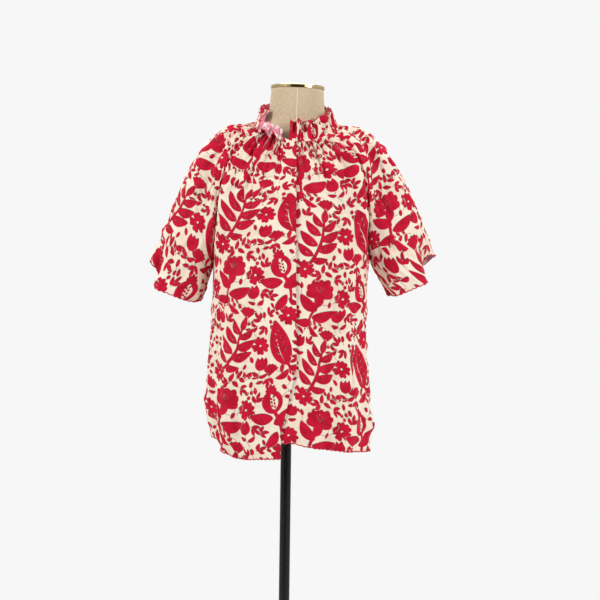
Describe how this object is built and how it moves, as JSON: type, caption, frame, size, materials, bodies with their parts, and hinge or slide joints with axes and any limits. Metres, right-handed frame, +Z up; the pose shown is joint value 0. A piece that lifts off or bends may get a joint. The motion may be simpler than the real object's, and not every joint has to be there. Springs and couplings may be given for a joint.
{
  "type": "ruffle neck blouse on a limbless dress form stand",
  "caption": "Short-sleeved raglan blouse with an elastic ruffle neck and a hidden front placket, worn by a limbless dress form on a pole with a round foot.",
  "frame": {"origin": "centre of the stand's round foot, on the floor under the pole", "axes": "+Z up, the blouse's front faces -Y, and -X is the wearer's right"},
  "size_m": [0.6228, 0.32, 1.4955],
  "materials": {
    "printed_cotton": "matt",
    "form_cover": "matt linen",
    "brass": "polished",
    "black_metal": "satin"
  },
  "bodies": {
    "root": {"front_right": "printed_cotton", "front_left": "printed_cotton", "back": "printed_cotton", "sleeve_right": "printed_cotton", "sleeve_left": "printed_cotton", "neck_ruffle": "printed_cotton", "dress_form": "form_cover", "neck_cap": "brass", "pole": "black_metal", "stand_base": "black_metal"}
  },
  "joints": []
}
